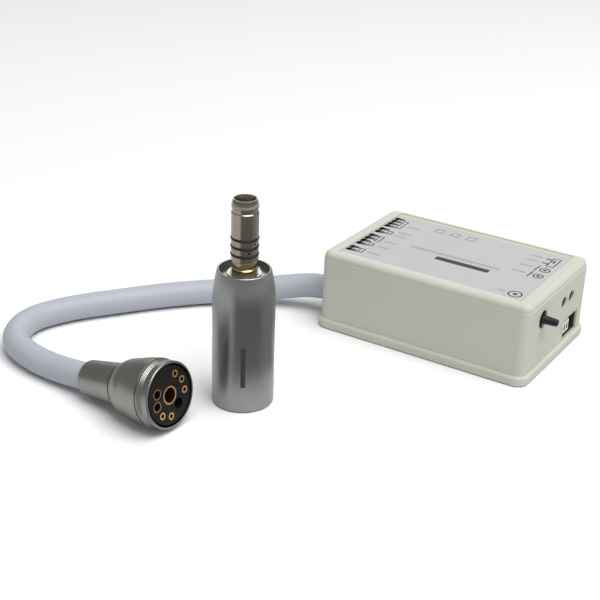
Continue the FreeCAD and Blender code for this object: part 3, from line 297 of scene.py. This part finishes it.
def metal(name, colour, smudge, roughness, rings, axis=None):
    """Metal turned about the upright, or about the upright as the axis turns it."""
    values = {
        "Colour": colour,
        "Smudge Colour": smudge,
        "Roughness": roughness,
        "Ring Depth": rings,
    }
    return surface(name, TURNED, values, {"Metallic": 1.0}, axis)


# Turns that bring +X, and +X leaning up by the coupling's tilt, to the upright that the rings lie across.
COUPLING_TILT = math.radians(9.3)
COUPLING_TURN = (0.0, COUPLING_TILT - math.pi / 2, 0.0)
ALONG_X = (0.0, -math.pi / 2, 0.0)

# The painted shade covers what lies 0.85 mm or more inside the box's outer faces: its middle, its reach from
# there each way, and its reach across an upright corner.
CAVITY_MIDDLE = mm(0.0, 0.0, 17.5)
CAVITY_REACH = mm(45.9, 30.15, 13.55)
CAVITY_CORNER = 74.6 * MM


def paint_cavity_shade(material, colour):
    """Painted shade on the faces that lie inside the box's outer walls, so that its openings read as dark."""
    tree = material.node_tree
    base = tree.nodes["Principled BSDF"].inputs["Base Color"]
    place = add_node(tree, "ShaderNodeSeparateXYZ")
    wire(tree, object_place(tree), place.inputs["Vector"])
    gaps = []
    for axis, middle in zip("XYZ", CAVITY_MIDDLE):
        offset = math_node(tree, "SUBTRACT", place.outputs[axis], middle)
        gaps.append(math_node(tree, "ABSOLUTE", offset))
    # The sum of the two level gaps keeps the painted shade off the rounded upright corners.
    gaps.append(math_node(tree, "ADD", gaps[0], gaps[1]))
    inside = 1.0
    for gap, reach in zip(gaps, (*CAVITY_REACH, CAVITY_CORNER)):
        inside = math_node(tree, "MULTIPLY", inside, math_node(tree, "LESS_THAN", gap, reach))
    # Mixes the painted shade colour into the base colour inside the box's walls.
    wire(tree, blend_colours(tree, inside, base.links[0].from_socket, colour), base)


ivory = plastic("ivory shell", rgb(0.62, 0.62, 0.545), rgb(0.59, 0.595, 0.52), 0.55, 0.35, 0.35)
# Painted shade: the ivory faces inside the box's walls are darkened so that its openings read as dark.
paint_cavity_shade(ivory, rgb(0.065, 0.067, 0.045))
label_film = plastic("label film", rgb(0.50, 0.50, 0.505), rgb(0.475, 0.475, 0.485), 0.42, 0.12, 0.4)
label_margin = plastic("label margin", rgb(0.63, 0.635, 0.58), rgb(0.60, 0.605, 0.55), 0.42, 0.12, 0.4)
label_stripe = plastic("label stripe", rgb(0.50, 0.52, 0.22), rgb(0.46, 0.49, 0.20), 0.42, 0.12, 0.4)
print_ink = plastic("print ink", rgb(0.025, 0.025, 0.028), rgb(0.04, 0.04, 0.042), 0.5, 0.1, 0.3)
casing_ink = plastic("casing ink", rgb(0.045, 0.045, 0.048), rgb(0.06, 0.06, 0.063), 0.6, 0.1, 0.15)
print_grey = plastic("grey print ink", rgb(0.20, 0.20, 0.215), rgb(0.26, 0.26, 0.27), 0.5, 0.1, 0.3)
board_green = plastic("solder mask", rgb(0.02, 0.11, 0.05), rgb(0.015, 0.08, 0.04), 0.35, 0.3, 0.5)
terminal_green = plastic("terminal moulding", rgb(0.05, 0.17, 0.08), rgb(0.04, 0.14, 0.07), 0.5, 0.3)
trimmer_olive = plastic("trimmer moulding", rgb(0.045, 0.045, 0.025), rgb(0.035, 0.035, 0.02), 0.45, 0.2)
dark_moulding = plastic("dark moulding", rgb(0.018, 0.018, 0.02), rgb(0.03, 0.03, 0.032), 0.5, 0.3)
inlet_black = plastic(
    "air inlet moulding", rgb(0.008, 0.008, 0.012), rgb(0.014, 0.014, 0.02), 0.32, 0.15, 0.5
)
switch_white = plastic("switch moulding", rgb(0.86, 0.87, 0.86), rgb(0.82, 0.83, 0.82), 0.3, 0.15, 0.5)
contact_black = plastic(
    "contact insulator", rgb(0.006, 0.006, 0.007), rgb(0.011, 0.011, 0.012), 0.5, 0.3, 0.2
)
rubber_black = plastic(
    "sealing ring rubber", rgb(0.010, 0.010, 0.010), rgb(0.018, 0.017, 0.016), 0.5, 0.3, 0.45
)
rubber_grey = plastic("bushing rubber", rgb(0.30, 0.31, 0.33), rgb(0.26, 0.27, 0.29), 0.6, 0.4, 0.35)
hose_silicone = plastic(
    "hose silicone", rgb(0.47, 0.49, 0.54), rgb(0.44, 0.465, 0.52), 0.48, 0.18, 0.4, **{"Cloud Scale": 25.0}
)
casing_steel = metal("casing steel", rgb(0.34, 0.345, 0.35), rgb(0.30, 0.31, 0.31), 0.34, 0.10)
rim_steel = metal("flange steel", rgb(0.50, 0.48, 0.46), rgb(0.40, 0.39, 0.37), 0.28, 0.2)
nose_steel = metal("nose steel", rgb(0.38, 0.345, 0.285), rgb(0.28, 0.255, 0.21), 0.22, 0.12)
bright_steel = metal("bright steel", rgb(0.72, 0.72, 0.72), rgb(0.62, 0.62, 0.62), 0.25, 0.1)
coupling_steel = metal(
    "coupling steel", rgb(0.34, 0.325, 0.305), rgb(0.29, 0.28, 0.265), 0.34, 0.08, COUPLING_TURN
)
brass = metal("turned brass", rgb(0.56, 0.45, 0.25), rgb(0.44, 0.35, 0.19), 0.30, 0.15)
dull_brass = metal("dull screw brass", rgb(0.16, 0.15, 0.08), rgb(0.12, 0.11, 0.06), 0.45, 0.15, ALONG_X)
gold = metal("contact gold", rgb(0.72, 0.42, 0.16), rgb(0.60, 0.34, 0.13), 0.28, 0.15, COUPLING_TURN)
aged_gold = metal(
    "aged contact gold", rgb(0.36, 0.24, 0.11), rgb(0.28, 0.19, 0.09), 0.34, 0.15, COUPLING_TURN
)
copper = metal("winding copper", rgb(0.62, 0.26, 0.12), rgb(0.50, 0.20, 0.10), 0.35, 0.5)
magnet_nickel = metal("magnet plating", rgb(0.45, 0.44, 0.42), rgb(0.40, 0.39, 0.37), 0.3, 0.1)
core_steel = metal("stator sheet", rgb(0.20, 0.20, 0.21), rgb(0.15, 0.15, 0.16), 0.5, 0.8)
sink_aluminium = metal("heat sink aluminium", rgb(0.60, 0.61, 0.62), rgb(0.55, 0.56, 0.57), 0.35, 0.1)


def lens_material():
    """Slightly cloudy clear plastic."""
    material, tree, shader = new_material("light window")
    shader.inputs["Transmission Weight"].default_value = 0.7
    shader.inputs["IOR"].default_value = 1.5
    cloud = add_node(tree, "ShaderNodeTexNoise", Scale=900.0, Detail=2.0)
    wire(tree, object_place(tree), cloud.inputs["Vector"])
    tint = blend_colours(tree, cloud.outputs["Fac"], rgb(0.80, 0.80, 0.74), rgb(0.66, 0.66, 0.60))
    wire(tree, tint, shader.inputs["Base Color"])
    gloss = math_node(tree, "MULTIPLY", cloud.outputs["Fac"], 0.3)
    wire(tree, gloss, shader.inputs["Roughness"])
    return material


FINISHES = {
    ivory: ("base_plate", "case_frame", "top_lid"),
    label_film: ("label_panel",),
    bright_steel: (
        "case_screws",
        "board_screws",
        "terminal_screws",
        "coupling_clip",
        "nose_snap_ring",
        "bearing_outer_rings",
        "bearing_inner_rings",
        "bearing_balls",
        "rotor_shaft",
        "drive_dog",
        "dog_spring",
    ),
    board_green: ("driver_board", "control_board", "position_board"),
    terminal_green: ("motor_terminal", "light_terminal", "signal_terminal", "supply_terminal"),
    trimmer_olive: ("trimmer_bodies",),
    dark_moulding: (
        "pressure_sensor",
        "controller_chip",
        "power_transistors",
        "board_connector",
        "power_inductor",
        "capacitors",
        "mode_slider",
        "feedback_slider",
    ),
    inlet_black: ("air_inlet_barb",),
    switch_white: ("switch_body",),
    contact_black: ("contact_block", "rear_contact_block"),
    rubber_black: ("nose_o_rings",),
    rubber_grey: ("hose_bushing",),
    casing_steel: ("motor_casing",),
    rim_steel: ("front_flange", "rear_bearing_plate"),
    nose_steel: ("nose_tube",),
    coupling_steel: ("coupling_sleeve", "union_nut"),
    brass: ("brass_collar", "board_spacers"),
    dull_brass: ("speed_trimmer_screw", "light_trimmer_screw"),
    gold: ("air_tube", "signal_sockets", "signal_pins", "power_pins"),
    aged_gold: ("power_sockets",),
    copper: ("stator_coil",),
    magnet_nickel: ("rotor_magnet",),
    core_steel: ("stator_core",),
    sink_aluminium: ("heat_sink",),
    lens_material(): ("light_windows",),
}


def finish_with(piece, material):
    piece.data.materials.clear()
    piece.data.materials.append(material)


for material, names in FINISHES.items():
    for name in names:
        finish_with(bpy.data.objects[name], material)
finish_with(hose, hose_silicone)


# ---- modelling helpers ----


def select(*pieces):
    """Selects these objects alone, the first one active."""
    bpy.ops.object.select_all(action="DESELECT")
    for piece in pieces:
        piece.select_set(True)
    bpy.context.view_layer.objects.active = pieces[0]


def settle(piece):
    """Puts the object's place, turn and size into its mesh."""
    select(piece)
    bpy.ops.object.transform_apply(location=True, rotation=True, scale=True)
    return piece


def joined(name, pieces, material):
    """One object with this name and material, made of all the pieces."""
    select(*pieces)
    bpy.ops.object.join()
    whole = settle(bpy.context.object)
    whole.name = name
    whole.data.name = name
    finish_with(whole, material)
    return whole


def edit_all():
    """Opens the active mesh for editing, with all of it selected."""
    bpy.ops.object.mode_set(mode="EDIT")
    bpy.ops.mesh.select_all(action="SELECT")


# Millimetres: the label's top face, the air under the print, the print's thickness, a line's width,
# and the label's length.
LABEL_TOP = 33.85
PRINT_GAP = 0.005
INK = 0.02
LINE = 0.5
LABEL_LENGTH = 80.8


def raise_print():
    """Gives the flat outline being edited the print's thickness, and closes the edit."""
    bpy.ops.mesh.extrude_region_move(TRANSFORM_OT_translate={"value": (0, 0, INK * MM)})
    bpy.ops.mesh.select_all(action="SELECT")
    bpy.ops.mesh.normals_make_consistent(inside=False)
    bpy.ops.object.mode_set(mode="OBJECT")


def printed_bar(x, y, length, width, turn=0.0, corner=0.0):
    """Flat printed bar on the label, centred at x and y in millimetres."""
    bpy.ops.object.select_all(action="DESELECT")
    bpy.ops.mesh.primitive_plane_add(size=1, location=mm(x, y, LABEL_TOP + PRINT_GAP))
    bar = bpy.context.object
    bar.scale = (length * MM, width * MM, 1)
    bar.rotation_euler.z = turn
    settle(bar)
    edit_all()
    if corner:
        bpy.ops.mesh.bevel(offset=corner * MM, segments=3, affect="VERTICES")
    raise_print()
    return bar


def printed_frame(x, y, length, width):
    """Printed rectangle outline."""
    return [
        printed_bar(x, y + (width - LINE) / 2, length, LINE),
        printed_bar(x, y - (width - LINE) / 2, length, LINE),
        printed_bar(x + (length - LINE) / 2, y, LINE, width - 2 * LINE),
        printed_bar(x - (length - LINE) / 2, y, LINE, width - 2 * LINE),
    ]


def printed_disc(x, y, radius, hole=0.0):
    """Printed dot, or a ring when it has a hole."""
    bpy.ops.object.select_all(action="DESELECT")
    bpy.ops.mesh.primitive_circle_add(
        vertices=48, radius=radius * MM, fill_type="NGON", location=mm(x, y, LABEL_TOP + PRINT_GAP)
    )
    disc = settle(bpy.context.object)
    edit_all()
    if hole:
        bpy.ops.mesh.inset(thickness=(radius - hole) * MM, depth=0)
        bpy.ops.mesh.delete(type="FACE")
        bpy.ops.mesh.select_all(action="SELECT")
    raise_print()
    return disc


# ---- the print on the lid's label ----


TICK_PITCH = 0.85
TICK_WIDTH = 0.42
TICK_HEIGHT = 1.3
SHORT_TICK = TICK_HEIGHT * 0.8


def caption(x, y, length):
    """Row of plain ticks, every third one short, where a real label carries a word."""
    count = int(length / TICK_PITCH)
    first = x - TICK_PITCH * (count - 1) / 2
    ticks = []
    for index in range(count):
        height = TICK_HEIGHT if index % 3 else SHORT_TICK
        ticks.append(printed_bar(first + TICK_PITCH * index, y, TICK_WIDTH, height))
    return ticks


def make_label_print():
    """Terminal plan, adjuster symbols, plain frames and a plain band in place of words."""
    ink = []
    grey = []
    # terminal rows along the left edge: poles, the row's far and near ends, its brackets and its captions
    rows = (
        (4, 22.3, 9.3, ((19.8, 10.5),), (14.9,)),
        (2, 8.4, 0.9, ((5.9, 2.2),), (6.8, 2.8)),
        (4, -0.6, -15.1, ((-1.9, -8.0), (-10.5, -13.9)), (-5.6, -12.1)),
        (2, -16.7, -23.2, ((-17.9, -22.3),), (-20.1,)),
    )
    for poles, far, near, brackets, words in rows:
        pitch = (far - near) / poles
        for pole in range(poles):
            middle = far - pitch * (pole + 0.5)
            ink.append(printed_bar(-38.3, middle, 3.7, pitch * 0.66, corner=0.15))
            ink.append(printed_bar(-35.9, middle, 1.3, pitch * 0.4))
        ink.append(printed_bar(-38.9, (far + near) / 2, 1.5, far - near - pitch * 0.2))
        for high, low in brackets:
            ink.extend(printed_frame(-33.8, (high + low) / 2, 2.4, high - low))
        for y in words:
            grey.extend(caption(-28.0, y, 6.6))
    # three equal plain frames
    for x in (-17.2, -9.7, -2.2):
        grey.extend(printed_frame(x, 18.9, 4.0, 4.0))
    # plain band with two thin rules
    ink.append(printed_bar(6.5, -8.0, 24.0, 3.2, corner=0.6))
    grey.append(printed_bar(0.8, -2.9, 41.0, 0.5))
    grey.append(printed_bar(0.8, -4.2, 41.0, 0.3))
    # switch, adjusters and inlet along the right edge
    ink.extend(printed_frame(36.5, 16.1, 3.5, 9.6))
    ink.append(printed_bar(36.3, 17.2, 0.8, 3.2))
    for y in (18.6, 13.9):
        ink.append(printed_bar(33.5, y, 2.4, 0.9))
        grey.extend(caption(28.2, y, 5.6))
    for y in (6.9, -0.1):
        ink.append(printed_disc(36.5, y, 2.25, 1.7))
        ink.append(printed_disc(36.5, y, 0.8))
        ink.append(printed_bar(32.9, y + 0.4, 0.6, 5.8, turn=-0.08))
        grey.extend(caption(28.0, y + 0.4, 6.6))
    ink.append(printed_disc(36.1, -21.6, 2.95, 2.35))
    ink.append(printed_disc(36.1, -21.6, 0.95))
    grey.extend(caption(30.3, -21.4, 4.0))
    # the label's margins along its long edges, and the stripe in the upper one
    margin = [printed_bar(0, y, LABEL_LENGTH, width) for y, width in ((25.5, 1.0), (27.2, 0.5), (-26.7, 1.5))]
    stripe = [printed_bar(0, 26.45, LABEL_LENGTH, 0.85)]
    return [
        joined("label_ink", ink, print_ink),
        joined("label_grey_ink", grey, print_grey),
        joined("label_margin", margin, label_margin),
        joined("label_stripe", stripe, label_stripe),
    ]


for piece in make_label_print():
    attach(piece, "control_set")


# ---- the plain bar on the motor's casing ----


def make_casing_marks():
    """One dark upright bar, a thin skin on the side of the casing that faces the camera."""
    low, high, half_width = 10.6, 26.8, 0.9
    skin_radius = 11.61
    centre = mm(*MOTOR_FOOT, 0)
    facing = math.atan2(-0.822, 0.569)
    across = level_heading(facing)
    sideways = Vector((-across.y, across.x, 0))
    bpy.ops.object.select_all(action="DESELECT")
    bpy.ops.mesh.primitive_cylinder_add(
        vertices=256,
        radius=skin_radius * MM,
        depth=(high - low) * MM,
        end_fill_type="NOTHING",
        location=centre + mm(0, 0, (low + high) / 2),
        rotation=(0, 0, facing),
    )
    mark = settle(bpy.context.object)
    bpy.ops.object.mode_set(mode="EDIT")
    for side in (1, -1):
        bpy.ops.mesh.select_all(action="SELECT")
        bpy.ops.mesh.bisect(
            plane_co=centre + sideways * side * half_width * MM,
            plane_no=sideways * side,
            clear_outer=True,
            threshold=1e-6,
        )
    bpy.ops.mesh.select_all(action="SELECT")
    bpy.ops.mesh.bisect(plane_co=centre, plane_no=across, clear_inner=True, threshold=1e-6)
    bpy.ops.object.mode_set(mode="OBJECT")
    skin = mark.modifiers.new("skin", "SOLIDIFY")
    skin.thickness = 0.015 * MM
    skin.offset = 1
    bpy.ops.object.modifier_apply(modifier="skin")
    return joined("casing_marks", [mark], casing_ink)


casing_marks = make_casing_marks()
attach(casing_marks, "motor")


# ---- the hose, which carries the coupling ----

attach(hose, "control_set")
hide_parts("hose_tube")


# ---- floor and light ----


def make_floor():
    """Matt floor, whiter to the camera than to the object."""
    bpy.ops.object.select_all(action="DESELECT")
    bpy.ops.mesh.primitive_plane_add(size=8, location=(0, 0, -0.0002))
    floor = bpy.context.object
    floor.name = "studio_floor"
    material, tree, shader = new_material("studio floor")
    seen = add_node(tree, "ShaderNodeLightPath").outputs["Is Camera Ray"]
    wire(tree, blend_colours(tree, seen, neutral(0.82), neutral(0.97)), shader.inputs["Base Color"])
    shader.inputs["Roughness"].default_value = 0.9
    shader.inputs["Specular IOR Level"].default_value = 0.1
    floor.data.materials.append(material)


def add_softbox(name, place, aim, size, power):
    """Square area light at a place, turned to shine at its aim."""
    light = bpy.data.lights.new(name, "AREA")
    light.shape = "RECTANGLE"
    light.size = size
    light.size_y = size
    light.energy = power
    holder = bpy.data.objects.new(name, light)
    holder.location = place
    holder.rotation_euler = (Vector(aim) - Vector(place)).to_track_quat("-Z", "Y").to_euler()
    bpy.context.collection.objects.link(holder)


def reflection_card(name, outline, shade=0.0, glow=0.0):
    """Flat staging card that only reflections see: a dark flag, or a bright reflector when it glows."""
    mesh = bpy.data.meshes.new(name)
    mesh.from_pydata(outline, [], [list(range(len(outline)))])
    card = bpy.data.objects.new(name, mesh)
    bpy.context.collection.objects.link(card)
    material, _, shader = new_material(name)
    shader.inputs["Base Color"].default_value = neutral(shade)
    shader.inputs["Roughness"].default_value = 0.9
    shader.inputs["Specular IOR Level"].default_value = 0.0
    shader.inputs["Emission Color"].default_value = neutral(1.0)
    shader.inputs["Emission Strength"].default_value = glow
    mesh.materials.append(material)
    card.visible_camera = False
    card.visible_diffuse = False
    card.visible_shadow = False
    card.visible_transmission = False


def floor_flag(name, start, end, shade):
    """Ring sector round the motor's foot, just over the floor, between two headings in degrees."""
    steps = 24
    inner_radius, outer_radius = 0.034, 0.30
    sweep = [math.radians(start + (end - start) * step / steps) for step in range(steps + 1)]
    foot = mm(*MOTOR_FOOT, 0.2)
    outer = [foot + outer_radius * level_heading(angle) for angle in sweep]
    inner = [foot + inner_radius * level_heading(angle) for angle in reversed(sweep)]
    reflection_card(name, outer + inner, shade)


def back_reflector():
    """Bright card behind the object that lights rims and upward faces in reflections."""
    distance, half_width, low, high = 0.62, 0.36, 0.22, 0.46
    behind = level_heading(math.radians(125))
    sideways = Vector((-behind.y, behind.x, 0))
    corners = []
    for height, side in ((low, -1), (low, 1), (high, 1), (high, -1)):
        corners.append(behind * distance + sideways * side * half_width + Vector((0, 0, height)))
    reflection_card("back_reflector", corners, glow=1.7)


make_floor()
floor_flag("front_flag", -92, 8, 0.17)
floor_flag("right_flag", 8, 70, 0.30)
back_reflector()
add_softbox("top_softbox", place=(0.65, -0.15, 1.85), aim=(-0.02, -0.06, 0.02), size=1.7, power=42)

world = bpy.data.worlds.new("studio")
bpy.context.scene.world = world
world.use_nodes = True
backdrop = world.node_tree.nodes["Background"]
backdrop.inputs["Color"].default_value = neutral(1.0)
backdrop.inputs["Strength"].default_value = 0.30
bpy.context.scene.view_settings.view_transform = "Standard"
bpy.context.scene.view_settings.look = "None"
